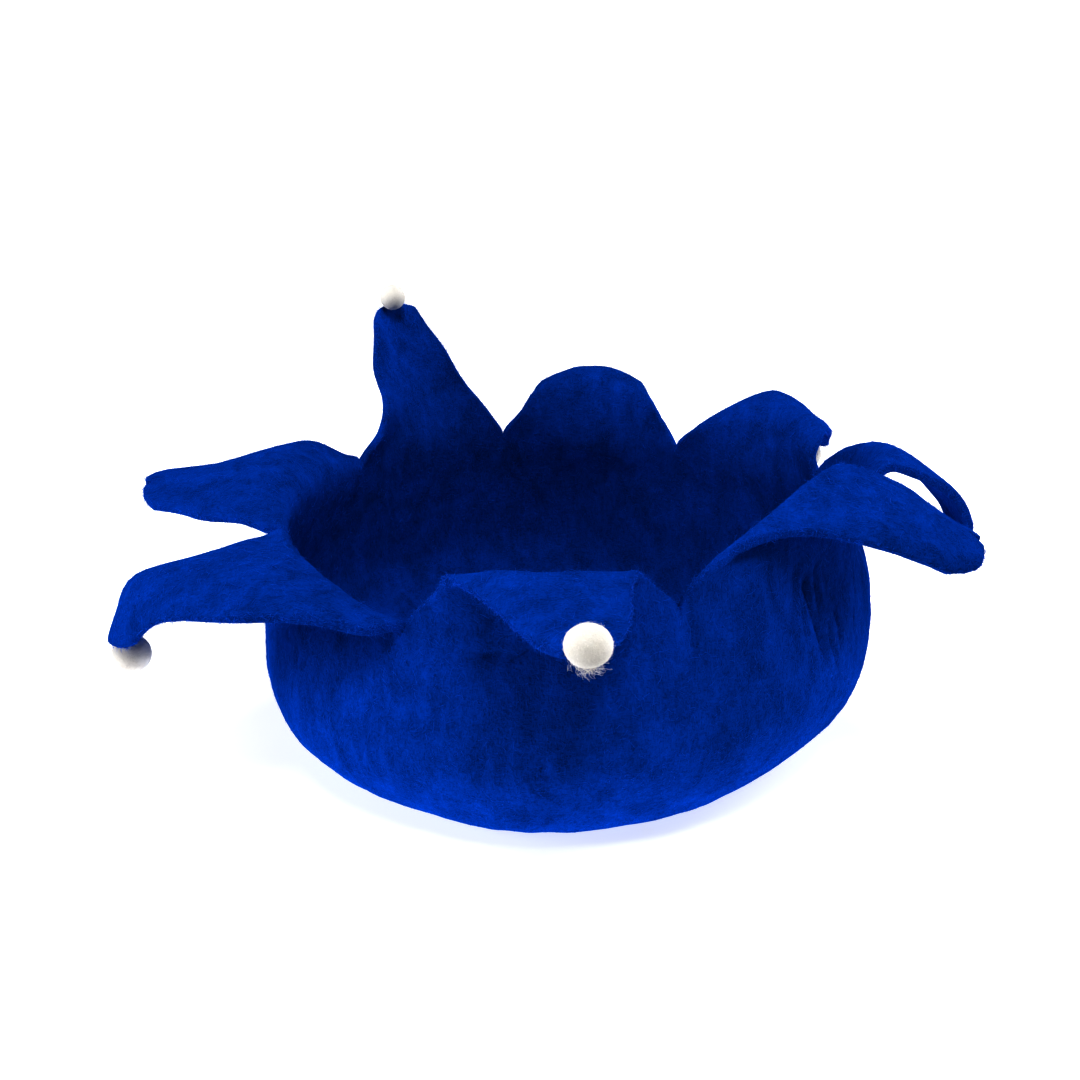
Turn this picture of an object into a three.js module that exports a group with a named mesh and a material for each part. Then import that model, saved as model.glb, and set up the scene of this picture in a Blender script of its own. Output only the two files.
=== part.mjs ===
// A hand-felted wool pet basket. One seamless felt shell makes the flat floor, the round
// bulging wall and a rim cut into eight pointed petals. Felt balls are sewn to the petals' tips.
// Millimetres, +Z up. The origin is the middle of the underside and the front petal faces -Y.
import * as THREE from 'three';

// Driving dimensions
const FELT_THICKNESS = 6;
const FLOOR_RADIUS = 150;
const CLEARANCE = 0.3;

// How far the corners of a petal's tip are rounded off, as a share of its last stretch
const TIP_ROUNDING = 0.3;

// Columns across one petal, and rows between two rings or two sections
const PETAL_COLUMNS = 8;
const RING_STEPS = 2;
const SECTION_STEPS = 2;
const BALL_SEGMENTS = 16;
const BALL_RINGS = 10;
const SEATING_STEPS = 8;

// Rings of the wall from the floor to the valleys of the rim, to the middle of the felt:
// radius, height and shift along X
const RINGS = [
  { radius: 174, height: 8, shift: -5 },
  { radius: 192, height: 23, shift: -7 },
  { radius: 203, height: 46, shift: -6 },
  { radius: 207, height: 76, shift: -2 },
  { radius: 203, height: 114, shift: 0 },
  { radius: 194, height: 150, shift: 0 },
];
const RIM_HEIGHT = RINGS.at(-1).height;
const LEVEL_HEIGHT = 46;

// Soft dents and swells of the wall: where each lies, how far it reaches and how deep it is
const DENTS = [
  { azimuth: 38, reach: 30, height: 22, rise: 26, push: -9 },
  { azimuth: 66, reach: 9, height: 110, rise: 34, push: -5 },
  { azimuth: 80, reach: 10, height: 140, rise: 26, push: -7 },
  { azimuth: -8, reach: 20, height: 112, rise: 34, push: -4 },
  { azimuth: -42, reach: 16, height: 58, rise: 30, push: 3 },
  { azimuth: 150, reach: 24, height: 84, rise: 34, push: -4 },
  { azimuth: 215, reach: 22, height: 92, rise: 32, push: -4 },
  { azimuth: 258, reach: 15, height: 66, rise: 30, push: 3 },
];

// The petals in order of azimuth, counted from the front towards +X. Each starts at the valley
// on its left, seen from outside. Every section is a bow through its left edge, its middle and
// its right edge, and each of these points is [out, side, up] from the petal's heading. The tip
// carries a ball or is slit open, at one of its columns, for one that is no longer there.
const PETALS = [
  {
    name: 'front',
    heading: -5,
    valley: { azimuth: -27.5, height: 133 },
    sections: [
      { left: [187, -55, 158], middle: [199, 3, 168], right: [182, 64, 163] },
      { left: [202, -43, 173], middle: [207, 5, 179], right: [191, 52, 176] },
      { left: [226, -21, 173], middle: [232, 14, 180], right: [218, 48, 178] },
      { left: [252, -4, 173], middle: [258, 23, 177], right: [243, 49, 177] },
      { left: [277, 15, 171], middle: [279, 31, 173], right: [269, 47, 174] },
    ],
    ball: { diameter: 22, face: 'upper', ahead: 8 },
  },
  {
    name: 'front_right',
    heading: 40,
    valley: { azimuth: 17.5, height: 150 },
    sections: [
      { left: [184, -66, 168], middle: [191, 9, 183], right: [175, 73, 176] },
      { left: [193, -46, 185], middle: [182, 29, 204], right: [169, 70, 201] },
      { left: [208, -14, 191], middle: [211, 52, 197], right: [195, 95, 190] },
      { left: [235, 20, 182], middle: [236, 62, 188], right: [221, 99, 178] },
      { left: [266, 63, 161], middle: [260, 76, 172], right: [250, 92, 175] },
    ],
    slit: { column: 6, depth: 8 },
  },
  {
    name: 'right',
    heading: 85,
    valley: { azimuth: 62.5, height: 150 },
    sections: [
      { left: [182, -60, 177], middle: [196, -2, 180], right: [181, 62, 169] },
      { left: [197, -52, 196], middle: [204, -8, 198], right: [194, 38, 185] },
      { left: [219, -38, 192], middle: [225, -8, 191], right: [221, 24, 186] },
      { left: [253, -16, 169], middle: [253, 3, 166], right: [250, 23, 160] },
      { left: [270, -4, 140], middle: [268, 8, 138], right: [264, 24, 139] },
    ],
    ball: { diameter: 24, face: 'under', ahead: 4 },
  },
  {
    name: 'back_right',
    heading: 130,
    valley: { azimuth: 107.5, height: 150 },
    sections: [
      { left: [176, -68, 169], middle: [195, -10, 178], right: [182, 54, 166] },
      { left: [185, -68, 183], middle: [204, -28, 193], right: [211, 18, 194] },
      { left: [206, -58, 181], middle: [223, -26, 186], right: [230, 8, 194] },
      { left: [228, -41, 171], middle: [243, -22, 175], right: [248, 2, 180] },
      { left: [246, -26, 155], middle: [253, -14, 157], right: [255, 2, 158] },
    ],
    ball: { diameter: 24, face: 'under', ahead: 4 },
  },
  {
    name: 'back',
    heading: 175,
    valley: { azimuth: 152.5, height: 144 },
    sections: [
      { left: [182, -58, 172], middle: [195, 0, 180], right: [182, 58, 172] },
      { left: [192, -46, 190], middle: [203, 0, 199], right: [192, 46, 190] },
      { left: [216, -36, 193], middle: [226, -2, 202], right: [216, 34, 194] },
      { left: [242, -28, 180], middle: [250, -5, 188], right: [242, 20, 183] },
      { left: [262, -21, 162], middle: [266, -7, 165], right: [262, 8, 165] },
    ],
    ball: { diameter: 24, face: 'under', ahead: 4 },
  },
  {
    name: 'back_left',
    heading: 220,
    valley: { azimuth: 197.5, height: 150 },
    sections: [
      { left: [182, -62, 172], middle: [198, -8, 176], right: [180, 43, 173] },
      { left: [196, -45, 200], middle: [206, -6, 200], right: [184, 36, 196] },
      { left: [208, -35, 226], middle: [214, -2, 222], right: [199, 34, 218] },
      { left: [222, -26, 246], middle: [222, 1, 242], right: [212, 26, 238] },
      { left: [233, -19, 263], middle: [229, 4, 262], right: [226, 17, 260] },
    ],
    ball: { diameter: 20, face: 'upper', ahead: 5 },
  },
  {
    name: 'left',
    heading: 265,
    valley: { azimuth: 239, height: 148 },
    sections: [
      { left: [187, -85, 154], middle: [202, -6, 163], right: [193, 72, 149] },
      { left: [210, -74, 167], middle: [222, -6, 168], right: [214, 64, 152] },
      { left: [238, -54, 165], middle: [250, 0, 164], right: [240, 59, 151] },
      { left: [268, -33, 159], middle: [278, 7, 158], right: [266, 48, 152] },
      { left: [314, -14, 156], middle: [303, 12, 155], right: [292, 39, 151] },
    ],
    slit: { column: 3, depth: 8 },
  },
  {
    name: 'front_left',
    heading: 310,
    valley: { azimuth: 287.5, height: 147 },
    sections: [
      { left: [194, -74, 147], middle: [201, 0, 149], right: [203, 72, 139] },
      { left: [221, -65, 149], middle: [228, -4, 154], right: [229, 57, 147] },
      { left: [249, -62, 147], middle: [256, -20, 151], right: [257, 30, 146] },
      { left: [275, -74, 140], middle: [279, -44, 142], right: [280, -12, 137] },
      { left: [286, -79, 120], middle: [289, -62, 120], right: [287, -40, 121] },
      { left: [293, -79, 104], middle: [294, -71, 104], right: [291, -55, 106] },
    ],
    ball: { diameter: 24, face: 'under', ahead: 9 },
  },
];

// Looks
const BLUE_FELT = { color: 0x0a3cb4, roughness: 0.95, metalness: 0 };
const WHITE_FELT = { color: 0xeae4d6, roughness: 0.95, metalness: 0 };

// Unit vectors outwards and sideways at an azimuth
function directions(azimuth) {
  const angle = THREE.MathUtils.degToRad(azimuth);
  const out = new THREE.Vector3(Math.sin(angle), -Math.cos(angle), 0);
  const side = new THREE.Vector3(Math.cos(angle), Math.sin(angle), 0);
  return { out, side };
}

// A point given as [out, side, up] from a heading
function petalPoint(heading, [out, side, up]) {
  const axes = directions(heading);
  return new THREE.Vector3(0, 0, up).addScaledVector(axes.out, out).addScaledVector(axes.side, side);
}

// The points across one section, from the petal's left edge to its right edge
function sectionPoints(heading, section) {
  const left = petalPoint(heading, section.left);
  const middle = petalPoint(heading, section.middle);
  const right = petalPoint(heading, section.right);
  const spread = right.clone().sub(left).multiplyScalar(0.5);
  const bow = right.clone().add(left).multiplyScalar(0.5).sub(middle);
  return Array.from({ length: PETAL_COLUMNS + 1 }, (_, k) => {
    const across = (2 * k) / PETAL_COLUMNS - 1;
    return middle.clone().addScaledVector(spread, across).addScaledVector(bow, across * across);
  });
}

// How far the wall's dents push it out at an azimuth and a height
function dentPush(azimuth, height) {
  return DENTS.reduce((sum, dent) => {
    const turn = THREE.MathUtils.euclideanModulo(azimuth - dent.azimuth + 180, 360) - 180;
    const fade = (turn / dent.reach) ** 2 + ((height - dent.height) / dent.rise) ** 2;
    return sum + dent.push * Math.exp(-fade);
  }, 0);
}

// A point of a ring, where the rings above LEVEL_HEIGHT follow the uneven height of the rim
function ringPoint(ring, column) {
  const climb = THREE.MathUtils.clamp((ring.height - LEVEL_HEIGHT) / (RIM_HEIGHT - LEVEL_HEIGHT), 0, 1);
  const height = ring.height + (column.rimHeight - RIM_HEIGHT) * climb;
  const radius = ring.radius + dentPush(column.azimuth, ring.height);
  const point = directions(column.azimuth).out.multiplyScalar(radius);
  point.x += ring.shift;
  point.z = height;
  return point;
}

// A smooth curve through the points, sampled in even steps between two places counted in points
function sampledCurve(points, first, last, steps) {
  const curve = new THREE.CatmullRomCurve3(points, false, 'catmullrom', 0.5);
  return Array.from({ length: steps + 1 }, (_, k) => (
    curve.getPoint(THREE.MathUtils.lerp(first, last, k / steps) / (points.length - 1))
  ));
}

// Draws the last of the points back towards the one before it
function shorten(points, length) {
  const [before, end] = points.slice(-2);
  end.addScaledVector(end.clone().sub(before).normalize(), -length);
}

// The columns of the wall, with the azimuth and the height of the rim at each
function wallColumns() {
  return PETALS.flatMap((petal, index) => {
    const start = petal.valley;
    const end = PETALS[(index + 1) % PETALS.length].valley;
    const turn = THREE.MathUtils.euclideanModulo(end.azimuth - start.azimuth, 360);
    return Array.from({ length: PETAL_COLUMNS }, (_, k) => {
      const along = k / PETAL_COLUMNS;
      return {
        azimuth: start.azimuth + turn * along,
        rimHeight: THREE.MathUtils.lerp(start.height, end.height, THREE.MathUtils.smoothstep(along, 0, 1)),
      };
    });
  });
}

// The middle surface of the felt, with its triangles facing out, and its cut edge as one loop
function middleSurface() {
  const points = [];
  const triangles = [];
  const rim = [];
  const addPoint = (point) => points.push(point) - 1;
  const addTriangle = (a, b, c) => {
    if (a !== b && b !== c && c !== a) triangles.push(a, b, c);
  };
  const addStrip = (near, far) => {
    for (let k = 0; k + 1 < near.length; k += 1) {
      const [a, b, c, d] = [near[k], far[k], far[k + 1], near[k + 1]];
      if (points[a].distanceTo(points[c]) < points[b].distanceTo(points[d])) {
        addTriangle(a, b, c);
        addTriangle(a, c, d);
      } else {
        addTriangle(a, b, d);
        addTriangle(b, c, d);
      }
    }
  };

  const columns = wallColumns();
  const sections = PETALS.map((petal) => petal.sections.map((row) => sectionPoints(petal.heading, row)));
  const floorHeight = FELT_THICKNESS / 2;
  const centre = addPoint(new THREE.Vector3(0, 0, floorHeight));

  const wall = columns.map((column, j) => {
    const petal = Math.floor(j / PETAL_COLUMNS);
    const k = j % PETAL_COLUMNS;
    const above = sections[petal][0][k].clone();
    if (k === 0) above.add(sections.at(petal - 1)[0][PETAL_COLUMNS]).multiplyScalar(0.5);
    const floorEdge = directions(column.azimuth).out.multiplyScalar(FLOOR_RADIUS).setZ(floorHeight);
    const floorMiddle = floorEdge.clone().multiplyScalar(0.5).setZ(floorHeight);
    const rings = RINGS.map((ring) => ringPoint(ring, column));
    const rows = sampledCurve([floorEdge, ...rings, above], 0, RINGS.length, RINGS.length * RING_STEPS);
    return [centre, addPoint(floorMiddle), ...rows.map(addPoint)];
  });
  wall.forEach((column, j) => addStrip(column, wall[(j + 1) % wall.length]));

  const tips = PETALS.map((petal, i) => {
    const fan = Array.from({ length: PETAL_COLUMNS + 1 }, (_, k) => {
      const j = (i * PETAL_COLUMNS + k) % columns.length;
      const roots = RINGS.slice(-2).map((ring) => ringPoint(ring, columns[j]));
      const route = [...roots, ...sections[i].map((row) => row[k])];
      const across = (2 * k) / PETAL_COLUMNS - 1;
      const end = route.length - 1 - TIP_ROUNDING * Math.abs(across) ** 3;
      const rows = sampledCurve(route, 1, end, sections[i].length * SECTION_STEPS).slice(1);
      if (petal.slit?.column === k) shorten(rows, petal.slit.depth);
      return [wall[j].at(-1), ...rows.map(addPoint)];
    });
    fan.slice(1).forEach((column, k) => addStrip(fan[k], column));
    const leftEdge = fan[0];
    const rightEdge = fan.at(-1);
    rim.push(...leftEdge, ...fan.slice(1, -1).map((column) => column.at(-1)), ...rightEdge.slice(1).reverse());
    return fan[PETAL_COLUMNS / 2].slice(-2).map((index) => points[index]);
  });
  return { points, triangles, rim, tips };
}

// The felt shell: the middle surface thickened to both sides and closed along its cut edge
function feltShell({ points, triangles, rim }) {
  const middle = new THREE.BufferGeometry().setFromPoints(points);
  middle.setIndex(triangles);
  middle.computeVertexNormals();
  const normals = middle.getAttribute('normal');
  const skin = (offset) => points.map((point, k) => (
    point.clone().addScaledVector(new THREE.Vector3().fromBufferAttribute(normals, k), offset)
  ));
  const count = points.length;
  const faces = [...triangles];
  for (let k = 0; k < triangles.length; k += 3) {
    faces.push(count + triangles[k], count + triangles[k + 2], count + triangles[k + 1]);
  }
  rim.forEach((from, k) => {
    const to = rim[(k + 1) % rim.length];
    faces.push(from, to, count + to, from, count + to, count + from);
  });
  const shell = new THREE.BufferGeometry();
  shell.setFromPoints([...skin(FELT_THICKNESS / 2), ...skin(-FELT_THICKNESS / 2)]);
  shell.setIndex(faces);
  shell.computeVertexNormals();
  return shell;
}

// The distance from a point to the nearest triangle of a geometry
function distanceTo(geometry, point) {
  const positions = geometry.getAttribute('position');
  const index = geometry.getIndex();
  const triangle = new THREE.Triangle();
  const nearest = new THREE.Vector3();
  let distance = Infinity;
  for (let k = 0; k < index.count; k += 3) {
    triangle.setFromAttributeAndIndices(positions, index.getX(k), index.getX(k + 1), index.getX(k + 2));
    distance = Math.min(distance, triangle.closestPointToPoint(point, nearest).distanceTo(point));
  }
  return distance;
}

// Where a ball's middle lies: ahead of the tip's end or, below 0, behind it, and moved square
// to one face of the petal until the ball just clears the felt
function ballCentre({ heading, ball }, [before, end], felt) {
  const along = end.clone().sub(before).normalize();
  const side = directions(heading).side;
  const across = side.addScaledVector(along, -side.dot(along)).normalize();
  const away = along.clone().cross(across).multiplyScalar(ball.face === 'upper' ? 1 : -1);
  const reach = ball.diameter / 2 + CLEARANCE;
  const centre = end.clone().addScaledVector(along, ball.ahead).addScaledVector(away, reach);
  for (let step = 0; step < SEATING_STEPS; step += 1) {
    centre.addScaledVector(away, reach - distanceTo(felt, centre));
  }
  return centre;
}

// One felt ball
function feltBall(petal, tip, felt) {
  const geometry = new THREE.SphereGeometry(petal.ball.diameter / 2, BALL_SEGMENTS, BALL_RINGS);
  const ball = new THREE.Mesh(geometry, new THREE.MeshStandardMaterial(WHITE_FELT));
  ball.name = `felt_ball_${petal.name}`;
  ball.position.copy(ballCentre(petal, tip, felt));
  return ball;
}

const surface = middleSurface();
const shell = new THREE.Mesh(feltShell(surface), new THREE.MeshStandardMaterial(BLUE_FELT));
shell.name = 'felt_basket';

const basket = new THREE.Group();
basket.add(shell);
PETALS.forEach((petal, k) => {
  if (petal.ball) basket.add(feltBall(petal, surface.tips[k], shell.geometry));
});

export default basket;
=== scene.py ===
"""A hand-felted wool pet basket with a petal rim and felt balls, dressed over its fixed frame.

The tables of sizes are in millimetres and degrees, as the basket is measured. Azimuths count from
the front, which faces -Y, towards +X.
"""
import math
from collections import namedtuple

import bmesh
import bpy
import numpy as np
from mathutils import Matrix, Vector, noise
from mathutils.bvhtree import BVHTree


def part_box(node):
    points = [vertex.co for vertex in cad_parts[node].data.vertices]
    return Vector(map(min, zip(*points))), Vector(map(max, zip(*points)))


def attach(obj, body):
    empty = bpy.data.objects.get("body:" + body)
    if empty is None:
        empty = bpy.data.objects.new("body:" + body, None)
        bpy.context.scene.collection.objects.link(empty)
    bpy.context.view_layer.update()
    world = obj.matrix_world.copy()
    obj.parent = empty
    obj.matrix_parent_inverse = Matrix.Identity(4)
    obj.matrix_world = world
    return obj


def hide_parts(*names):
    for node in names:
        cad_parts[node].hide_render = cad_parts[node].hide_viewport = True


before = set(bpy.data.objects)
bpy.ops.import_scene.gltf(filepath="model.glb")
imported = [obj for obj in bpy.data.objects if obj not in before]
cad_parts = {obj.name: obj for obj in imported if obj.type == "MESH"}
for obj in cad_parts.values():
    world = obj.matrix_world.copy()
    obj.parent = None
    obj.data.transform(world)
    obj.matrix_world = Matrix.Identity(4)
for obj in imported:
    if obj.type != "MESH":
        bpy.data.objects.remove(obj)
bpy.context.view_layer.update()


# The camera
# It stands 0.7 m in front of the basket's middle, a little above its rim, and looks down at it
# and slightly to the left.
MM = 0.001
CAMERA_PLACE = (0, -700, 380)
LOOKS_DOWN = 20.1
LOOKS_LEFT = 1.7
FOCAL_PIXELS = 1059
PICTURE_PIXELS = 1080

camera_data = bpy.data.cameras.new("camera")
camera_data.sensor_width = 36
camera_data.lens = camera_data.sensor_width * FOCAL_PIXELS / PICTURE_PIXELS
camera_data.clip_start = 0.01
camera = bpy.data.objects.new("camera", camera_data)
camera.location = [MM * place for place in CAMERA_PLACE]
camera.rotation_euler = (math.radians(90 - LOOKS_DOWN), 0, math.radians(LOOKS_LEFT))
bpy.context.scene.collection.objects.link(camera)
bpy.context.scene.camera = camera


# The felt basket
# One seamless shell of blue wool, felted wet over a form: the flat floor, the bulging wall and the
# petals are one piece, 6 mm thick. The petals were cut into the rim with scissors, and each has
# settled into a bend of its own.
FELT_THICKNESS = 6
FLOOR_RADIUS = 150
PETAL_COLUMNS = 72
FOOT_ROWS = 10
WALL_ROWS = 43
PETAL_ROWS = 26
TIP_ROUNDING = 0.3
SLIT_DEPTH = 7
SLIT_WIDTH = 0.1
SLIT_EDGE = 7
LOBE_LENGTH = 9
EDGE_BULGE = 1.1

# The wall's rings from the foot up to the rim, each moved sideways by its shift. The first ones are
# the round foot, and those above the level height follow the ups and downs of the rim.
Ring = namedtuple("Ring", "radius height shift")
RINGS = [
    Ring(174, 8, -5),
    Ring(192, 23, -7),
    Ring(203, 46, -6),
    Ring(207, 76, -2),
    Ring(203, 114, 0),
    Ring(194, 150, 0),
]
RIM_HEIGHT = RINGS[-1].height
LEVEL_HEIGHT = 46
FOOT_RINGS = 2

# Broad dents of the wall, and bulges where the push is outwards
Dent = namedtuple("Dent", "azimuth reach height rise push")
DENTS = [
    Dent(38, 30, 22, 26, -9),
    Dent(66, 9, 110, 34, -5),
    Dent(80, 10, 140, 26, -7),
    Dent(-8, 20, 112, 34, -4),
    Dent(-42, 16, 58, 30, 3),
    Dent(150, 24, 84, 34, -4),
    Dent(215, 22, 92, 32, -4),
    Dent(258, 15, 66, 30, 3),
]

# Each point of a section is (out, side, up) from the petal's heading. Two tips are slit open at a
# place across the tip, counted from -1 to 1, and the lobe on the right stands higher by the lift.
Section = namedtuple("Section", "left middle right")
Slit = namedtuple("Slit", "place lift")
Petal = namedtuple("Petal", "name heading valley_azimuth valley_height sections slit")
PETALS = [
    Petal("front", -5, -27.5, 133, [
        Section((187, -55, 158), (199, 3, 168), (182, 64, 163)),
        Section((202, -43, 173), (207, 5, 179), (191, 52, 176)),
        Section((226, -21, 173), (232, 14, 180), (218, 48, 178)),
        Section((252, -4, 173), (258, 23, 177), (243, 49, 177)),
        Section((277, 15, 171), (279, 31, 173), (269, 47, 174)),
    ], None),
    Petal("front_right", 40, 17.5, 150, [
        Section((184, -66, 168), (191, 9, 183), (175, 73, 176)),
        Section((193, -46, 185), (182, 29, 204), (169, 70, 201)),
        Section((208, -14, 191), (211, 52, 197), (195, 95, 190)),
        Section((235, 20, 182), (236, 62, 188), (221, 99, 178)),
        Section((266, 63, 161), (260, 76, 172), (250, 92, 175)),
    ], Slit(0.5, 2)),
    Petal("right", 85, 62.5, 150, [
        Section((182, -60, 177), (196, -2, 180), (181, 62, 169)),
        Section((197, -52, 196), (204, -8, 198), (194, 38, 185)),
        Section((219, -38, 192), (225, -8, 191), (221, 24, 186)),
        Section((253, -16, 169), (253, 3, 166), (250, 23, 160)),
        Section((270, -4, 140), (268, 8, 138), (264, 24, 139)),
    ], None),
    Petal("back_right", 130, 107.5, 150, [
        Section((176, -68, 169), (195, -10, 178), (182, 54, 166)),
        Section((185, -68, 183), (204, -28, 193), (211, 18, 194)),
        Section((206, -58, 181), (223, -26, 186), (230, 8, 194)),
        Section((228, -41, 171), (243, -22, 175), (248, 2, 180)),
        Section((246, -26, 155), (253, -14, 157), (255, 2, 158)),
    ], None),
    Petal("back", 175, 152.5, 144, [
        Section((182, -58, 172), (195, 0, 180), (182, 58, 172)),
        Section((192, -46, 190), (203, 0, 199), (192, 46, 190)),
        Section((216, -36, 193), (226, -2, 202), (216, 34, 194)),
        Section((242, -28, 180), (250, -5, 188), (242, 20, 183)),
        Section((262, -21, 162), (266, -7, 165), (262, 8, 165)),
    ], None),
    Petal("back_left", 220, 197.5, 150, [
        Section((182, -62, 172), (198, -8, 176), (180, 43, 173)),
        Section((196, -45, 200), (206, -6, 200), (184, 36, 196)),
        Section((208, -35, 226), (214, -2, 222), (199, 34, 218)),
        Section((222, -26, 246), (222, 1, 242), (212, 26, 238)),
        Section((233, -19, 263), (229, 4, 262), (226, 17, 260)),
    ], None),
    Petal("left", 265, 239, 148, [
        Section((187, -85, 154), (202, -6, 163), (193, 72, 149)),
        Section((210, -74, 167), (222, -6, 168), (214, 64, 152)),
        Section((238, -54, 165), (250, 0, 164), (240, 59, 151)),
        Section((268, -33, 159), (278, 7, 158), (266, 48, 152)),
        Section((314, -14, 156), (303, 12, 155), (292, 39, 151)),
    ], Slit(-0.17, -4)),
    Petal("front_left", 310, 287.5, 147, [
        Section((194, -74, 147), (201, 0, 149), (203, 72, 139)),
        Section((221, -65, 149), (228, -4, 154), (229, 57, 147)),
        Section((249, -62, 147), (256, -20, 151), (257, 30, 146)),
        Section((275, -74, 140), (279, -44, 142), (280, -12, 137)),
        Section((286, -79, 120), (289, -62, 120), (287, -40, 121)),
        Section((293, -79, 104), (294, -71, 104), (291, -55, 106)),
    ], None),
]

# Creases of the wall that show, from a start to an end given by azimuth and height
Crease = namedtuple("Crease", "azimuth height end_azimuth end_height width depth")
CREASES = [
    Crease(42, 158, 45.5, 104, 6.5, 3.8),
    Crease(42, 155, 43.4, 135, 2.2, 2.9),
    Crease(43.4, 135, 46.3, 104, 2.4, 4.4),
    Crease(46.3, 126, 50.4, 88, 2.6, 3.4),
    Crease(45, 164, 45.8, 128, 2.2, 3.2),
    Crease(40.8, 141, 40.9, 122, 2.2, 2.8),
    Crease(39.6, 165, 39.1, 143, 2.2, 1.9),
    Crease(49.4, 131, 51.2, 104, 2.6, 2.8),
    Crease(58.8, 119, 58, 108, 2.4, 1.9),
    Crease(47.1, 93, 52.9, 82, 2.6, 1.9),
    Crease(21.7, 101, 22.7, 74, 2.2, 1.8),
    Crease(28.4, 103, 29.9, 80, 2.2, 1.8),
    Crease(20.6, 130, 21.8, 119, 2.2, 1.9),
    Crease(18.8, 84, 19.1, 71, 2.2, 1.8),
    Crease(-19.5, 139, -9.5, 151, 3, 3.5),
    Crease(-15.2, 127, -8.3, 130, 2.8, 2.9),
    Crease(-9.3, 124, -5.7, 134, 2.6, 2.6),
    Crease(-3.7, 72, -2.2, 62, 2.4, 2.2),
    Crease(4.3, 70, 4.6, 60, 2.4, 2.2),
    Crease(-56.7, 107, -55.5, 98, 2.4, 1.9),
    Crease(-51.7, 102, -51.3, 88, 2.4, 2.2),
    Crease(-32.2, 77, -33.8, 50, 2.4, 2.2),
    Crease(-20, 96, -19.6, 80, 2.4, 1.9),
    Crease(-44.4, 72, -44.2, 60, 2.4, 1.9),
]
CREASE_ENDS = 0.35
CREASE_RIDGES = 0.45

# Fine upright wrinkles all round the wall, each with its place and size drawn from these ranges
WRINKLES = 260
WRINKLE_HEIGHTS = (14, 128)
WRINKLE_LEAN = 2.2
WRINKLE_LENGTHS = (10, 34)
WRINKLE_WIDTHS = (1.9, 3.0)
WRINKLE_DEPTHS = (0.3, 1.0)

# Soft folds of the petals, from one point to another, each (out, side, up) from the petal's heading
Fold = namedtuple("Fold", "petal start end width depth")
FOLDS = [
    Fold("front_right", (212, 4, 188), (250, 46, 172), 7, 1.2),
    Fold("left", (244, 14, 163), (284, 20, 156), 17, 1.2),
    Fold("left", (233, 38, 158), (216, 15, 164), 6, 1.6),
    Fold("front_left", (228, 6, 152), (264, -18, 148), 16, 1.6),
    Fold("front", (206, -18, 177), (240, -2, 178), 9, 1.2),
    Fold("back_left", (206, -6, 200), (222, 0, 240), 13, -2.0),
    Fold("back", (200, 4, 195), (244, -6, 190), 12, -2.0),
    Fold("back_right", (203, -20, 192), (240, -20, 177), 12, -2.0),
]

# Lumps of the felt: of the whole shell, of each face by itself and of the cut edge
Lump = namedtuple("Lump", "height size seed")
SHELL_LUMPS = [Lump(1.2, 52, 1), Lump(0.7, 19, 2)]
OUTER_LUMPS = [Lump(0.3, 9, 3)]
INNER_LUMPS = [Lump(0.3, 9, 4)]
EDGE_LUMPS = [Lump(0.5, 5, 5), Lump(0.4, 2.2, 6)]
LUMP_STEPS = (3.1, 1.7, 5.3)


def directions(azimuth):
    """Unit vectors outwards and sideways at an azimuth."""
    angle = np.radians(azimuth)
    flat = np.zeros_like(angle)
    out = np.stack([np.sin(angle), -np.cos(angle), flat], axis=-1)
    side = np.stack([np.cos(angle), np.sin(angle), flat], axis=-1)
    return out, side


def turn_between(start, end):
    """The angle from one azimuth to another, from -180 to 180."""
    return (end - start + 180) % 360 - 180


def smoothstep(share):
    share = np.clip(share, 0, 1)
    return share * share * (3 - 2 * share)


def curve_at(points, places):
    """Points at these places on smooth curves through the rows of points, one curve a column."""
    before = 2 * points[:1] - points[1:2]
    after = 2 * points[-1:] - points[-2:-1]
    held = np.concatenate([before, points, after])
    start = np.minimum(places.astype(int), len(points) - 2)
    w = (places - start)[..., None]
    column = np.arange(points.shape[1])
    a, b, c, d = (held[start + k, column] for k in range(4))
    return b + 0.5 * w * (c - a + w * (2 * a - 5 * b + 4 * c - d + w * (3 * (b - c) + d - a)))


def ring_points(ring, azimuth, rim_height):
    """The points of one ring, which follows the uneven rim more the higher it lies."""
    climb = np.clip((ring.height - LEVEL_HEIGHT) / (RIM_HEIGHT - LEVEL_HEIGHT), 0, 1)
    push = np.zeros_like(azimuth)
    for dent in DENTS:
        beside = turn_between(dent.azimuth, azimuth) / dent.reach
        above = (ring.height - dent.height) / dent.rise
        push += dent.push * np.exp(-beside ** 2 - above ** 2)
    points = directions(azimuth)[0] * (ring.radius + push)[:, None]
    points[:, 0] += ring.shift
    points[:, 2] = ring.height + (rim_height - RIM_HEIGHT) * climb
    return points


def section_points(petal, section, across):
    """The points across one section of a petal, a bow through its two edges and its middle."""
    out, side = directions(np.float64(petal.heading))
    axes = np.array([out, side, (0, 0, 1)])
    left, middle, right = (np.array(point) @ axes for point in section)
    across = across[:, None]
    return middle + across * (right - left) / 2 + across ** 2 * ((left + right) / 2 - middle)


def strip(inner, outer):
    """Triangles between two closed rings of points, where the outer ring may have more of them."""
    ratio = len(outer) // len(inner)
    k = np.arange(len(outer))
    near = ((k + ratio // 2) // ratio) % len(inner)
    following = ((k + 1 + ratio // 2) // ratio) % len(inner)
    a, b = outer[k], outer[(k + 1) % len(outer)]
    fans = np.stack([b, a, inner[near]], axis=1)
    steps = np.stack([b, inner[near], inner[following]], axis=1)[near != following]
    return np.concatenate([fans, steps])


def grid_triangles(index):
    """Triangles of an open grid of points, given by its table of numbers."""
    a, b = index[1:, :-1].ravel(), index[1:, 1:].ravel()
    c, d = index[:-1, :-1].ravel(), index[:-1, 1:].ravel()
    return np.concatenate([np.stack([b, a, c], axis=1), np.stack([b, c, d], axis=1)])


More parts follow.
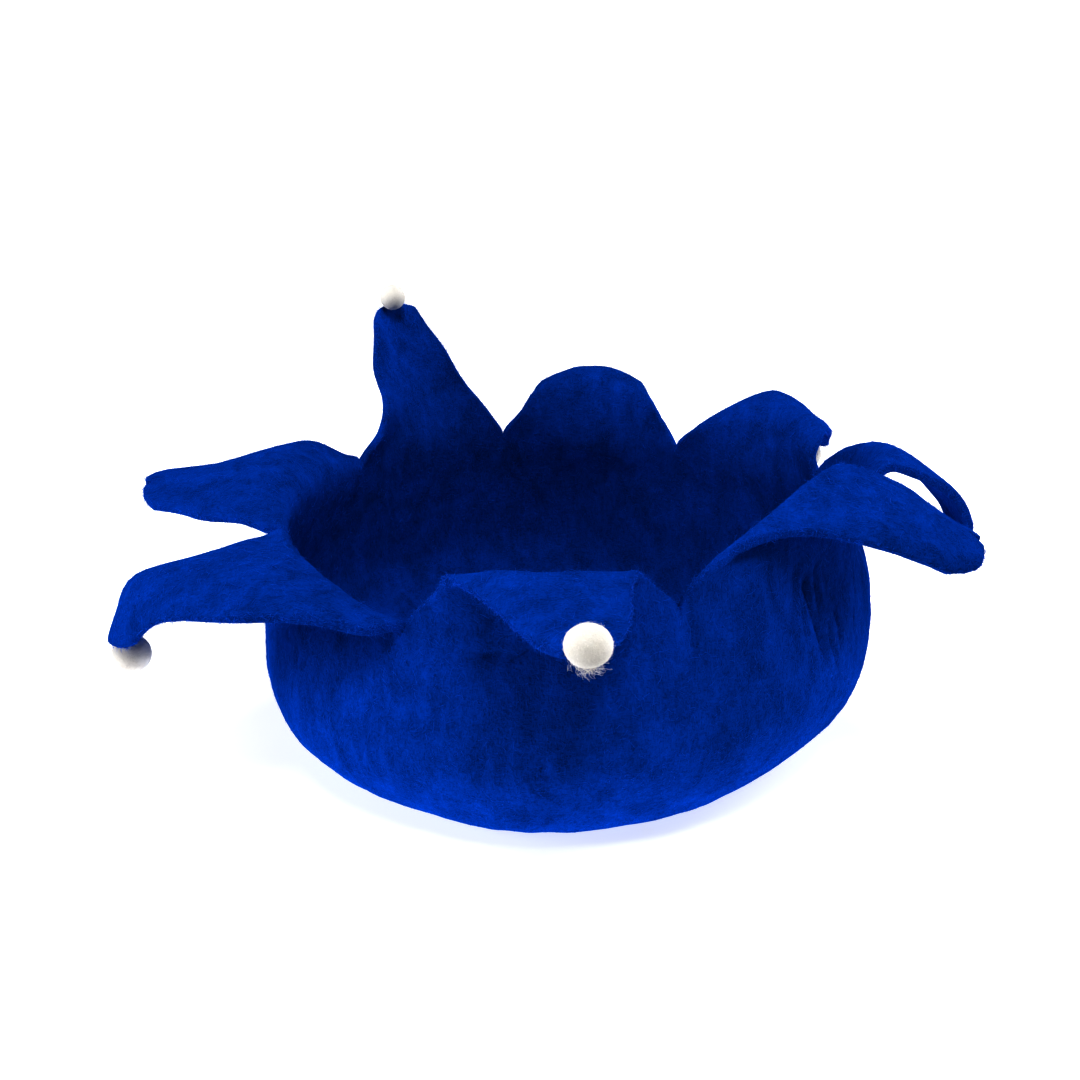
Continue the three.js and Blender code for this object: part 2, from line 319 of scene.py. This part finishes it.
def normals_of(points, triangles):
    a, b, c = (points[triangles[:, k]] for k in range(3))
    faces = np.cross(b - a, c - a)
    normals = np.zeros_like(points)
    for k in range(3):
        np.add.at(normals, triangles[:, k], faces)
    return normals / np.linalg.norm(normals, axis=1, keepdims=True)


def lumps(points, table):
    """Smooth noise at these points, with lumps of the heights and sizes in the table."""
    height = np.zeros(len(points))
    for lump in table:
        shift = Vector([lump.seed * step for step in LUMP_STEPS])
        waves = [noise.noise(Vector(point) / lump.size + shift) for point in points]
        height += lump.height * np.array(waves)
    return height


across = np.linspace(-1, 1, PETAL_COLUMNS + 1)
along = np.arange(PETAL_COLUMNS) / PETAL_COLUMNS
azimuths, rim_heights = [], []
for petal, following in zip(PETALS, PETALS[1:] + PETALS[:1]):
    turn = (following.valley_azimuth - petal.valley_azimuth) % 360
    climb = following.valley_height - petal.valley_height
    azimuths.append(petal.valley_azimuth + turn * along)
    rim_heights.append(petal.valley_height + climb * smoothstep(along))
azimuths, rim_heights = np.concatenate(azimuths), np.concatenate(rim_heights)
column_count = len(azimuths)

sections = [np.array([section_points(p, s, across) for s in p.sections]) for p in PETALS]
above = np.concatenate([rows[0][:-1] for rows in sections])
for i in range(len(PETALS)):
    above[i * PETAL_COLUMNS] = (sections[i][0][0] + sections[i - 1][0][-1]) / 2

# The middle surface: the floor's rings from the centre, the wall's rows, then a fan for each petal
out, _ = directions(azimuths)
floor_edge = out * FLOOR_RADIUS + np.array([0, 0, FELT_THICKNESS / 2])
rings = [ring_points(ring, azimuths, rim_heights) for ring in RINGS]
foot_places = np.linspace(0, FOOT_RINGS, FOOT_ROWS, endpoint=False)
upper_places = np.linspace(FOOT_RINGS, len(RINGS), WALL_ROWS + 1)
wall_places = np.concatenate([foot_places, upper_places])
wall_places = np.tile(wall_places[:, None], (1, column_count))
wall_rows = curve_at(np.array([floor_edge, *rings, above]), wall_places)
FloorRing = namedtuple("FloorRing", "share skip")
FLOOR_RINGS = [FloorRing(0.1, 16), FloorRing(0.25, 16), FloorRing(0.4, 4), FloorRing(0.55, 4),
               FloorRing(0.7, 4), FloorRing(0.85, 1)]
point_rows = [floor_edge[:1] * (0, 0, 1)]
index_rows = [np.array([0])]
count = 1
floor_rows = [floor_edge[::ring.skip] * (ring.share, ring.share, 1) for ring in FLOOR_RINGS]
for row in [*floor_rows, *wall_rows]:
    point_rows.append(row)
    index_rows.append(count + np.arange(len(row)))
    count += len(row)
triangles = [strip(inner, outer) for inner, outer in zip(index_rows, index_rows[1:])]
triangles[0] = triangles[0][:len(index_rows[1])]

rim = []
slit_mouths = []
sections_out = [np.zeros(sum(len(row) for row in point_rows))]
top_row = index_rows[-1]
for i, petal in enumerate(PETALS):
    columns = (i * PETAL_COLUMNS + np.arange(PETAL_COLUMNS + 1)) % column_count
    roots = [ring[columns] for ring in rings[-2:]]
    length = len(petal.sections)
    reach = length - TIP_ROUNDING * np.abs(across) ** 3
    if petal.slit:
        beside = across - petal.slit.place
        place = np.array([petal.slit.place])
        near, far = (section_points(petal, s, place)[0] for s in petal.sections[-2:])
        depth = SLIT_DEPTH / np.linalg.norm(far - near)
        reach -= depth * np.clip(1 - np.abs(beside) / SLIT_WIDTH, 0, 1)
        slit_mouths.append(far)
    share = np.arange(1, PETAL_ROWS + 1)[:, None] / PETAL_ROWS
    fan = curve_at(np.array([*roots, *sections[i]]), 1 + share * reach)
    if petal.slit:
        closeness = np.exp(-np.sum((fan - far) ** 2, axis=2) / LOBE_LENGTH ** 2)
        fan[..., 2] += petal.slit.lift / 2 * np.tanh(beside / SLIT_WIDTH) * closeness
    index = count + np.arange(fan.shape[0] * fan.shape[1]).reshape(fan.shape[:2])
    count += index.size
    point_rows.append(fan.reshape(-1, 3))
    sections_out.append((share * reach).ravel())
    index = np.concatenate([top_row[columns][None], index])
    triangles.append(grid_triangles(index))
    rim.extend([*index[:, 0], *index[-1, 1:-1], *index[:0:-1, -1]])
middle = np.concatenate(point_rows)
triangles = np.concatenate(triangles)
beyond_rim = np.concatenate(sections_out)
rim = np.array(rim)

# Lumps, creases and fine upright wrinkles, pushed along the normals of the smooth shell
RELIEF_RADIUS = 207
PETAL_FADE = 1.2
Fade = namedtuple("Fade", "start length")
WALL_FADE = Fade(165, 20)
FLOOR_FADE = Fade(120, 60)
FLOOR_SMOOTHING = 0.85
normals = normals_of(middle, triangles)
azimuth_there = np.degrees(np.arctan2(middle[:, 0], -middle[:, 1]))
from_axis = np.hypot(middle[:, 0], middle[:, 1])
on_wall = smoothstep((from_axis - WALL_FADE.start) / WALL_FADE.length)
on_wall *= 1 - smoothstep(beyond_rim / PETAL_FADE)


def trough(azimuth, height, end_azimuth, end_height, width, depth):
    """The depth of a soft trough on the wall, with low ridges beside it."""
    scale = math.radians(1) * RELIEF_RADIUS
    x = turn_between(azimuth, azimuth_there) * scale
    y = middle[:, 2] - height
    end = np.array([turn_between(azimuth, end_azimuth) * scale, end_height - height])
    length = np.linalg.norm(end)
    run = (x * end[0] + y * end[1]) / length
    off = (x * end[1] - y * end[0]) / length / width
    ends = CREASE_ENDS * length
    fade = smoothstep((run + width) / ends) * smoothstep((length + width - run) / ends)
    return -depth * fade * (np.exp(-off ** 2) - CREASE_RIDGES * np.exp(-(off / 2) ** 2))


relief = lumps(middle, SHELL_LUMPS)
for crease in CREASES:
    relief += on_wall * trough(*crease)
for fold in FOLDS:
    petal = next(p for p in PETALS if p.name == fold.petal)
    axes = np.array([*directions(np.float64(petal.heading)), (0, 0, 1)])
    start, end = np.array(fold.start) @ axes, np.array(fold.end) @ axes
    run = np.clip((middle - start) @ (end - start) / np.sum((end - start) ** 2), 0, 1)
    off = np.linalg.norm(middle - start - run[:, None] * (end - start), axis=1)
    relief -= fold.depth * np.exp(-(off / fold.width) ** 2)
chance = np.random.default_rng(11)
for _ in range(WRINKLES):
    azimuth = chance.uniform(-180, 180)
    height = chance.uniform(*WRINKLE_HEIGHTS)
    lean = chance.normal(0, WRINKLE_LEAN)
    length = chance.uniform(*WRINKLE_LENGTHS)
    width = chance.uniform(*WRINKLE_WIDTHS)
    depth = chance.uniform(*WRINKLE_DEPTHS)
    relief += on_wall * trough(azimuth, height, azimuth + lean, height + length, width, depth)
on_floor = 1 - smoothstep((from_axis - FLOOR_FADE.start) / FLOOR_FADE.length)
relief *= 1 - FLOOR_SMOOTHING * on_floor * (beyond_rim == 0)
middle = middle + normals * relief[:, None]
normals = normals_of(middle, triangles)

# Both faces of the felt, and the cut edge as a rounded strip between them
half = FELT_THICKNESS / 2
outer = middle + normals * (half + lumps(middle, OUTER_LUMPS))[:, None]
inner = middle - normals * (half + lumps(middle, INNER_LUMPS))[:, None]
outer[:, 2] = np.maximum(outer[:, 2], 0)
tangent = np.roll(middle[rim], -1, axis=0) - np.roll(middle[rim], 1, axis=0)
outward = np.cross(normals[rim], tangent)
outward /= np.linalg.norm(outward, axis=1, keepdims=True)
ragged = EDGE_BULGE * (1 + lumps(middle[rim], EDGE_LUMPS))
for mouth in slit_mouths:
    ragged *= smoothstep(np.linalg.norm(middle[rim] - mouth, axis=1) / SLIT_EDGE)
EdgeRow = namedtuple("EdgeRow", "level bulge")
EDGE_ROWS = [EdgeRow(0.72, 0.7), EdgeRow(0, 1), EdgeRow(-0.72, 0.7)]
rows = [rim]
edge_points = []
for row in EDGE_ROWS:
    flat = middle[rim] + normals[rim] * (half * row.level)
    edge_points.append(flat + outward * (row.bulge * ragged)[:, None])
    rows.append(2 * count + len(edge_points) * len(rim) - len(rim) + np.arange(len(rim)))
rows.append(rim + count)
edge_triangles = []
for upper, lower in zip(rows, rows[1:]):
    after_upper, after_lower = np.roll(upper, -1), np.roll(lower, -1)
    edge_triangles.append(np.stack([upper, after_upper, after_lower], axis=1))
    edge_triangles.append(np.stack([upper, after_lower, lower], axis=1))
shell_points = np.concatenate([outer, inner, *edge_points])
shell_triangles = np.concatenate([triangles, triangles[:, ::-1] + count, *edge_triangles])


def new_piece(name, points, faces, *materials):
    """A smooth-shaded object from points in millimetres."""
    mesh = bpy.data.meshes.new(name)
    mesh.from_pydata((points * MM).tolist(), [], faces.tolist())
    mesh.shade_smooth()
    for material in materials:
        mesh.materials.append(material)
    piece = bpy.data.objects.new(name, mesh)
    bpy.context.scene.collection.objects.link(piece)
    return piece


def felt_group():
    """Wool fibres matted every way: a mottled colour and a fine hairy height."""
    group = bpy.data.node_groups.new("matted_fibres", "ShaderNodeTree")
    sockets = (
        ("Deep Colour", "INPUT", "NodeSocketColor"),
        ("Light Colour", "INPUT", "NodeSocketColor"),
        ("Fibre Scale", "INPUT", "NodeSocketFloat"),
        ("Colour", "OUTPUT", "NodeSocketColor"),
        ("Height", "OUTPUT", "NodeSocketFloat"),
    )
    for name, way, kind in sockets:
        group.interface.new_socket(name, in_out=way, socket_type=kind)
    nodes, links = group.nodes, group.links
    given, made = nodes.new("NodeGroupInput"), nodes.new("NodeGroupOutput")
    place = nodes.new("ShaderNodeTexCoord").outputs["Object"]

    def math_node(operation, a, b):
        node = nodes.new("ShaderNodeMath")
        node.operation = operation
        for socket, value in zip(node.inputs, (a, b)):
            if isinstance(value, (int, float)):
                socket.default_value = value
            else:
                links.new(value, socket)
        return node.outputs["Value"]

    def wool(turn, stretch, scale, detail, distortion):
        """Noise that is turned and drawn out the way the wool lies."""
        mapping = nodes.new("ShaderNodeMapping")
        links.new(place, mapping.inputs["Vector"])
        mapping.inputs["Rotation"].default_value = turn
        mapping.inputs["Scale"].default_value = stretch
        node = nodes.new("ShaderNodeTexNoise")
        links.new(mapping.outputs["Vector"], node.inputs["Vector"])
        links.new(math_node("MULTIPLY", given.outputs["Fibre Scale"], scale), node.inputs["Scale"])
        node.inputs["Detail"].default_value = detail
        node.inputs["Roughness"].default_value = 0.6
        node.inputs["Distortion"].default_value = distortion
        return node.outputs["Fac"]

    def strands(turn, stretch, scale, thinness):
        """Thin winding lines, where a smooth noise passes through its middle value."""
        off = math_node("SUBTRACT", wool(turn, stretch, scale, detail=1, distortion=0.9), 0.5)
        off = math_node("MULTIPLY", math_node("ABSOLUTE", off, 0), thinness)
        return math_node("MAXIMUM", math_node("SUBTRACT", 1, off), 0)

    curled = strands(turn=(0.3, 0.2, 0.7), stretch=(1, 1, 1), scale=0.6, thinness=11)
    upright = strands(turn=(0.1, 0.05, 0.4), stretch=(1, 1, 0.2), scale=1, thinness=9)
    crosswise = strands(turn=(0.15, 0.1, 0.2), stretch=(0.2, 1, 1), scale=1, thinness=9)
    lengthwise = strands(turn=(0.2, 0.15, 0.5), stretch=(1, 0.25, 1), scale=0.9, thinness=9)
    clouds = wool(turn=(0, 0, 0), stretch=(1, 1, 0.6), scale=0.13, detail=6, distortion=0.6)
    grain = wool(turn=(0, 0, 0), stretch=(1, 1, 1), scale=2, detail=2, distortion=0.4)
    standing = math_node("MAXIMUM", curled, upright)
    lying = math_node("MAXIMUM", crosswise, lengthwise)
    fibres = math_node("MULTIPLY", math_node("ADD", standing, lying), 0.5)
    height = math_node("ADD", fibres, math_node("MULTIPLY", grain, 0.5))
    links.new(height, made.inputs["Height"])
    tone = math_node("ADD", math_node("MULTIPLY", clouds, 0.9), math_node("MULTIPLY", fibres, 0.25))
    spread = nodes.new("ShaderNodeMapRange")
    links.new(math_node("ADD", tone, math_node("MULTIPLY", grain, 0.1)), spread.inputs["Value"])
    spread.inputs["From Min"].default_value = 0.4
    spread.inputs["From Max"].default_value = 0.9
    mix = nodes.new("ShaderNodeMix")
    mix.data_type = "RGBA"
    links.new(spread.outputs["Result"], mix.inputs["Factor"])
    links.new(given.outputs["Deep Colour"], mix.inputs["A"])
    links.new(given.outputs["Light Colour"], mix.inputs["B"])
    links.new(mix.outputs["Result"], made.inputs["Colour"])
    return group


# How far light wanders inside pale wool, in millimetres
SCATTER_DEPTH = 7
matted_fibres = felt_group()


def felt_material(name, deep, light, fibre_scale, bump, sheen, sheen_tint, scatter):
    """Matte wool with a soft bloom of loose fibre ends."""
    material = bpy.data.materials.new(name)
    material.use_nodes = True
    nodes, links = material.node_tree.nodes, material.node_tree.links
    shader = nodes["Principled BSDF"]
    fibres = nodes.new("ShaderNodeGroup")
    fibres.node_tree = matted_fibres
    fibres.inputs["Deep Colour"].default_value = (*deep, 1)
    fibres.inputs["Light Colour"].default_value = (*light, 1)
    fibres.inputs["Fibre Scale"].default_value = fibre_scale
    raised = nodes.new("ShaderNodeBump")
    raised.inputs["Strength"].default_value = 1
    raised.inputs["Distance"].default_value = bump
    links.new(fibres.outputs["Height"], raised.inputs["Height"])
    links.new(raised.outputs["Normal"], shader.inputs["Normal"])
    links.new(fibres.outputs["Colour"], shader.inputs["Base Color"])
    shader.inputs["Roughness"].default_value = 1
    shader.inputs["Specular IOR Level"].default_value = 0
    shader.inputs["Sheen Weight"].default_value = sheen
    shader.inputs["Sheen Roughness"].default_value = 0.45
    shader.inputs["Sheen Tint"].default_value = (*sheen_tint, 1)
    shader.inputs["Subsurface Weight"].default_value = scatter
    shader.inputs["Subsurface Radius"].default_value = (1, 0.95, 0.9)
    shader.inputs["Subsurface Scale"].default_value = SCATTER_DEPTH * MM
    return material


blue_felt = felt_material(
    "blue_felt", deep=(0, 0.032, 0.165), light=(0, 0.072, 0.37),
    fibre_scale=430, bump=0.0004, sheen=0.25, sheen_tint=(0, 0.2, 1.0), scatter=0,
)
basket = new_piece("felt_shell", shell_points, shell_triangles, blue_felt)
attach(basket, "root")
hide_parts("felt_basket")


# The loose fibres of the basket
# Fine wool ends that stand off the felt all over and along the cut edges, where the scissors
# opened it. They are part of the same wool and are held by being felted in.
FACE_FIBRES = 12000
EDGE_FIBRES = 9000
FIBRE_SIDES = 3
FIBRE_TAPER = 0.45
FIBRE_RADII = (0.05, 0.1)
HAIR_BEND = 0.5
HAIR_DROOP = 0.35
HAIR_ROOT = 0.15
# No fibres grow on the underside, below the first height, and none hangs below the second
UNDERSIDE_HEIGHT = 1
LOWEST_FIBRE = 0.1


def fibre_mesh(paths, radius):
    """Points and triangles of tapered threads along these paths, closed at both ends."""
    number, steps = paths.shape[:2]
    ahead = np.gradient(paths, axis=1)
    ahead /= np.linalg.norm(ahead, axis=2, keepdims=True) + 1e-12
    axis = np.random.default_rng(5).normal(size=(number, 1, 3))
    first = np.cross(ahead, axis)
    first /= np.linalg.norm(first, axis=2, keepdims=True) + 1e-12
    second = np.cross(ahead, first)
    width = radius[:, None, None] * np.linspace(1, FIBRE_TAPER, steps)[None, :, None]
    rings = []
    for k in range(FIBRE_SIDES):
        angle = 2 * math.pi * k / FIBRE_SIDES
        rings.append(paths + width * (math.cos(angle) * first + math.sin(angle) * second))
    body = np.stack(rings, axis=2)[:, :-1]
    points = np.concatenate([body.reshape(number, -1, 3), paths[:, -1:]], axis=1)
    one = [(2, 1, 0)]
    for s in range(steps - 2):
        for k in range(FIBRE_SIDES):
            a, b = s * FIBRE_SIDES + k, s * FIBRE_SIDES + (k + 1) % FIBRE_SIDES
            one += [(a, b, b + FIBRE_SIDES), (a, b + FIBRE_SIDES, a + FIBRE_SIDES)]
    last, tip = (steps - 2) * FIBRE_SIDES, (steps - 1) * FIBRE_SIDES
    one += [(last + k, last + (k + 1) % FIBRE_SIDES, tip) for k in range(FIBRE_SIDES)]
    faces = np.array(one)[None] + (np.arange(number) * points.shape[1])[:, None, None]
    return points.reshape(-1, 3), faces.reshape(-1, 3)


def scattered(points, faces, number, seed):
    """Places spread evenly over a surface, with the surface's normals there."""
    chance = np.random.default_rng(seed)
    a, b, c = (points[faces[:, k]] for k in range(3))
    normal = np.cross(b - a, c - a)
    area = np.linalg.norm(normal, axis=1)
    chosen = chance.choice(len(area), number, p=area / area.sum())
    u, v = chance.random((2, number, 1))
    flip = u + v > 1
    u, v = np.where(flip, 1 - u, u), np.where(flip, 1 - v, v)
    places = a[chosen] + u * (b - a)[chosen] + v * (c - a)[chosen]
    return places, normal[chosen] / area[chosen, None]


def hair_paths(places, normal, length, lift, seed, steps=3):
    """Bent hairs that rise from these places and lie over to one side."""
    chance = np.random.default_rng(seed)
    way = np.cross(normal, chance.normal(size=normal.shape))
    way /= np.linalg.norm(way, axis=1, keepdims=True)
    bend = np.cross(normal, way) * chance.normal(0, HAIR_BEND, (len(places), 1))
    run = np.linspace(0, 1, steps)[None, :, None]
    rise = (lift * length)[:, None, None] * normal[:, None] * (run - HAIR_DROOP * run ** 2)
    lie = length[:, None, None] * (way[:, None] * run + bend[:, None] * run ** 2)
    return places[:, None] - HAIR_ROOT * normal[:, None] + rise + lie


def plain_fibre_material(name, colour, roughness):
    """Single wool fibres, too thin to show a pattern of their own."""
    material = bpy.data.materials.new(name)
    material.use_nodes = True
    shader = material.node_tree.nodes["Principled BSDF"]
    shader.inputs["Base Color"].default_value = (*colour, 1)
    shader.inputs["Roughness"].default_value = roughness
    shader.inputs["Specular IOR Level"].default_value = 0.2
    return material


blue_fibres = plain_fibre_material("blue_fibres", (0, 0.11, 0.55), 0.8)
# The fibres on the cut edges are coloured lighter than those on the faces: a painted highlight of the
# light that the cut edges catch.
edge_fibres_painted_highlight = plain_fibre_material("edge_fibres_painted_highlight", (0, 0.125, 0.61), 0.8)
outer_faces = triangles
inner_faces = triangles[:, ::-1] + count
edge_faces = np.concatenate(edge_triangles)
Fuzz = namedtuple("Fuzz", "name faces material number lengths lifts steps seed")
FUZZ = [
    Fuzz("fuzz_outside", outer_faces, blue_fibres, FACE_FIBRES, (1.5, 8), (0.06, 0.45), 4, 21),
    Fuzz("fuzz_inside", inner_faces, blue_fibres, FACE_FIBRES, (1.5, 8), (0.06, 0.45), 4, 22),
    Fuzz("fuzz_edges", edge_faces, edge_fibres_painted_highlight, EDGE_FIBRES, (1.0, 3.4), (0.4, 1.5), 3, 23),
]
for fuzz in FUZZ:
    chance = np.random.default_rng(fuzz.seed)
    shown = fuzz.faces[shell_points[fuzz.faces, 2].min(axis=1) > UNDERSIDE_HEIGHT]
    places, normal = scattered(shell_points, shown, fuzz.number, fuzz.seed)
    length = chance.uniform(*fuzz.lengths, fuzz.number)
    lift = chance.uniform(*fuzz.lifts, fuzz.number)
    paths = hair_paths(places, normal, length, lift, fuzz.seed, fuzz.steps)
    paths[:, :, 2] = np.maximum(paths[:, :, 2], LOWEST_FIBRE)
    fibre_points, fibre_faces = fibre_mesh(paths, chance.uniform(*FIBRE_RADII, fuzz.number))
    piece = new_piece(fuzz.name, fibre_points, fibre_faces, fuzz.material)
    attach(piece, "root")


# The felt balls
# Small balls of off-white wool, rolled and felted hard by hand, so that each is a little uneven. Each
# is sewn to the end of its petal with a few hidden stitches. The front one is flattened, and loose
# curls of its wool hang from its underside.
FLATTENING = {"front": 0.9}
BALL_SHARE = 0.985
BALL_FIBRES = 700
BALL_FIBRE_LENGTHS = (0.8, 2.6)
BALL_FIBRE_LIFTS = (0.1, 0.9)
BALL_FIBRE_RADII = (0.03, 0.06)
SEWN_GAP = 0.2
DRAWING_ROUNDS = 3
CURLS = {"front": 90}
CURL_RADII = (0.05, 0.08)
CURL_TURNS = (1.6, 4.2)
CURL_SIZES = (0.7, 2.1)
CURL_STEPS = 13
CURL_ROOT_SHARE = 0.97
CURL_DROPS = (-5, -0.5)
# Where the curls leave the ball, and how far their ends drift, sideways and to the back
Spread = namedtuple("Spread", "mean deviation")
ROOT_SIDEWAYS, ROOT_BACKWARDS = Spread(0, 0.45), Spread(-0.35, 0.3)
DRIFT_SIDEWAYS, DRIFT_BACKWARDS = Spread(0, 2.4), Spread(-0.6, 0.8)

white_felt = felt_material(
    "white_felt", deep=(0.62, 0.6, 0.565), light=(0.735, 0.715, 0.675),
    fibre_scale=900, bump=0.0004, sheen=0.1, sheen_tint=(1.0, 0.97, 0.9), scatter=0.9,
)
white_fibres = plain_fibre_material("white_fibres", (0.9, 0.87, 0.82), 0.7)
felt_faces = BVHTree.FromPolygons(shell_points.tolist(), shell_triangles.tolist())


def drawn_up(points):
    """The points of a ball, moved until it all but touches the felt that it is sewn to."""
    for _ in range(DRAWING_ROUNDS):
        found = [felt_faces.find_nearest(Vector(point)) for point in points]
        nearest = min(range(len(points)), key=lambda k: found[k][3])
        gap = np.array(found[nearest][0]) - points[nearest]
        points = points + gap * (1 - SEWN_GAP / np.linalg.norm(gap))
    return points


def ball_points(name):
    """A lumpy felt ball in place of the frame's plain one."""
    low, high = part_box(f"felt_ball_{name}")
    centre = np.array((low + high) / 2) / MM
    radius = (high.x - low.x) / 2 / MM
    ball = bmesh.new()
    bmesh.ops.create_icosphere(ball, subdivisions=4, radius=1)
    around = np.array([vertex.co for vertex in ball.verts])
    faces = np.array([[vertex.index for vertex in face.verts] for face in ball.faces])
    ball.free()
    seed = len(name) + centre[0]
    uneven = 1 + lumps(around, [Lump(0.022, 0.8, seed), Lump(0.012, 0.28, seed + 1)])
    points = around * (radius * uneven * BALL_SHARE)[:, None]
    points[:, 2] *= FLATTENING.get(name, 1)
    return drawn_up(centre + points), faces


def curl_paths(centre, radius, number, seed):
    """Loose threads that leave the underside of a ball and wind about below it."""
    chance = np.random.default_rng(seed)
    sideways = chance.normal(*ROOT_SIDEWAYS, number)
    backwards = chance.normal(*ROOT_BACKWARDS, number)
    around = np.stack([sideways, backwards, -np.ones(number)], axis=1)
    around /= np.linalg.norm(around, axis=1, keepdims=True)
    root = centre + around * CURL_ROOT_SHARE * radius
    turn = chance.uniform(*CURL_TURNS, (number, 1)) * np.linspace(0, 2, CURL_STEPS)
    turn += chance.uniform(0, 6.3, (number, 1))
    size = chance.uniform(*CURL_SIZES, (number, 1))
    loops = [np.cos(turn) * size, np.sin(1.7 * turn) * 0.5 * size, np.sin(turn) * 0.7 * size]
    winding = np.stack(loops, axis=2)
    sideways = chance.normal(*DRIFT_SIDEWAYS, number)
    backwards = chance.normal(*DRIFT_BACKWARDS, number)
    drift = np.stack([sideways, backwards, chance.uniform(*CURL_DROPS, number)], axis=1)
    run = np.linspace(0, 1, CURL_STEPS)[None, :, None]
    return root[:, None] + drift[:, None] * run + winding - winding[:, :1]


for name in [node.removeprefix("felt_ball_") for node in sorted(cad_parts) if "ball" in node]:
    points, faces = ball_points(name)
    ball = new_piece(f"ball_{name}", points, faces, white_felt)
    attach(ball, "root")
    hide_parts(f"felt_ball_{name}")
    places, normal = scattered(points, faces, BALL_FIBRES, 31)
    chance = np.random.default_rng(32)
    length = chance.uniform(*BALL_FIBRE_LENGTHS, BALL_FIBRES)
    lift = chance.uniform(*BALL_FIBRE_LIFTS, BALL_FIBRES)
    hairs = hair_paths(places, normal, length, lift, 33)
    hair_points, hair_faces = fibre_mesh(hairs, chance.uniform(*BALL_FIBRE_RADII, BALL_FIBRES))
    if name in CURLS:
        curls = curl_paths(points.mean(axis=0), np.ptp(points, axis=0) / 2, CURLS[name], 34)
        curl_points, curl_faces = fibre_mesh(curls, chance.uniform(*CURL_RADII, len(curls)))
        hair_faces = np.concatenate([hair_faces, curl_faces + len(hair_points)])
        hair_points = np.concatenate([hair_points, curl_points])
    hair = new_piece(f"ball_fuzz_{name}", hair_points, hair_faces, white_fibres)
    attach(hair, "root")


# The studio
# A plain white floor in front of a white surround. The floor glows though it is no lamp. Near the
# basket, most of all, it glows for light rays only: painted fill light that lights the basket from
# below. The glow that the camera sees of it is dimmer beside the basket: a painted contact shadow.
# The main lamp hangs high in front, a weak one overhead, one on each side, and two low ones behind
# that light the basket's outline.
FLOOR_SIZE = 12
FLOOR_DROP = 0.0002
# The glow that the camera sees, less bright beside the basket as a painted contact shadow, and the
# glow that lights the basket, which is painted fill light
Glow = namedtuple("Glow", "near far strength far_strength")
SEEN_GLOW_PAINTED_SHADOW = Glow(0.21, 0.36, 0.76, 1.05)
PAINTED_FILL_GLOW = Glow(0.25, 0.6, 2.3, 0)
floor_mesh = bpy.data.meshes.new("floor")
edge = FLOOR_SIZE / 2
corners = [(-edge, -edge, 0), (edge, -edge, 0), (edge, edge, 0), (-edge, edge, 0)]
floor_mesh.from_pydata(corners, [], [(0, 1, 2, 3)])
floor = bpy.data.objects.new("floor", floor_mesh)
floor.location.z = -FLOOR_DROP
bpy.context.scene.collection.objects.link(floor)
painted_glow_paper = bpy.data.materials.new("pale_floor_painted_glow")
painted_glow_paper.use_nodes = True
nodes, links = painted_glow_paper.node_tree.nodes, painted_glow_paper.node_tree.links
shader = nodes["Principled BSDF"]
shader.inputs["Base Color"].default_value = (0.45, 0.45, 0.47, 1)
shader.inputs["Roughness"].default_value = 1
shader.inputs["Specular IOR Level"].default_value = 0
# The floor's emission is painted light: a glow that lights the basket, though the floor is no lamp,
# and a dimmer glow beside the basket for the camera, which is a painted contact shadow.
shader.inputs["Emission Color"].default_value = (1, 1, 1, 1)
reach = nodes.new("ShaderNodeVectorMath")
reach.operation = "LENGTH"
links.new(nodes.new("ShaderNodeTexCoord").outputs["Object"], reach.inputs[0])
glow_mix = nodes.new("ShaderNodeMix")
links.new(nodes.new("ShaderNodeLightPath").outputs["Is Camera Ray"], glow_mix.inputs["Factor"])
for glow, socket in ((PAINTED_FILL_GLOW, "A"), (SEEN_GLOW_PAINTED_SHADOW, "B")):
    fade = nodes.new("ShaderNodeMapRange")
    fade.interpolation_type = "SMOOTHSTEP"
    links.new(reach.outputs["Value"], fade.inputs["Value"])
    fade.inputs["From Min"].default_value = glow.near
    fade.inputs["From Max"].default_value = glow.far
    fade.inputs["To Min"].default_value = glow.strength
    fade.inputs["To Max"].default_value = glow.far_strength
    links.new(fade.outputs["Result"], glow_mix.inputs[socket])
links.new(glow_mix.outputs["Result"], shader.inputs["Emission Strength"])
floor_mesh.materials.append(painted_glow_paper)

LAMP_AIM = Vector((0, 0, 0.1))
Lamp = namedtuple("Lamp", "name place size power")
LAMPS = [
    Lamp("overhead", (0, 0.05, 1.9), 0.8, 3),
    Lamp("front", (0.15, -0.85, 1.6), 0.5, 33),
    Lamp("left", (-1.5, -0.5, 0.5), 0.6, 23),
    Lamp("right", (1.3, -0.1, 1.2), 0.6, 9),
    Lamp("back_left", (-1.4, 0.8, 0.4), 0.6, 4),
    Lamp("back_right", (1.4, 0.8, 0.4), 0.6, 22),
]
for lamp in LAMPS:
    light_data = bpy.data.lights.new(lamp.name, "AREA")
    light_data.size = lamp.size
    light_data.energy = lamp.power
    light = bpy.data.objects.new(lamp.name, light_data)
    light.location = lamp.place
    light.rotation_euler = (LAMP_AIM - Vector(lamp.place)).to_track_quat("-Z", "Y").to_euler()
    bpy.context.scene.collection.objects.link(light)

SKY_SEEN, SKY_LIGHT = 1.1, 0.03
surround = bpy.data.worlds.new("surround")
surround.use_nodes = True
nodes, links = surround.node_tree.nodes, surround.node_tree.links
seen = nodes.new("ShaderNodeMapRange")
links.new(nodes.new("ShaderNodeLightPath").outputs["Is Camera Ray"], seen.inputs["Value"])
seen.inputs["To Min"].default_value = SKY_LIGHT
seen.inputs["To Max"].default_value = SKY_SEEN
nodes["Background"].inputs["Color"].default_value = (1, 1, 1, 1)
links.new(seen.outputs["Result"], nodes["Background"].inputs["Strength"])
bpy.context.scene.world = surround
view = bpy.context.scene.view_settings
view.view_transform = "Standard"
view.gamma = 0.6
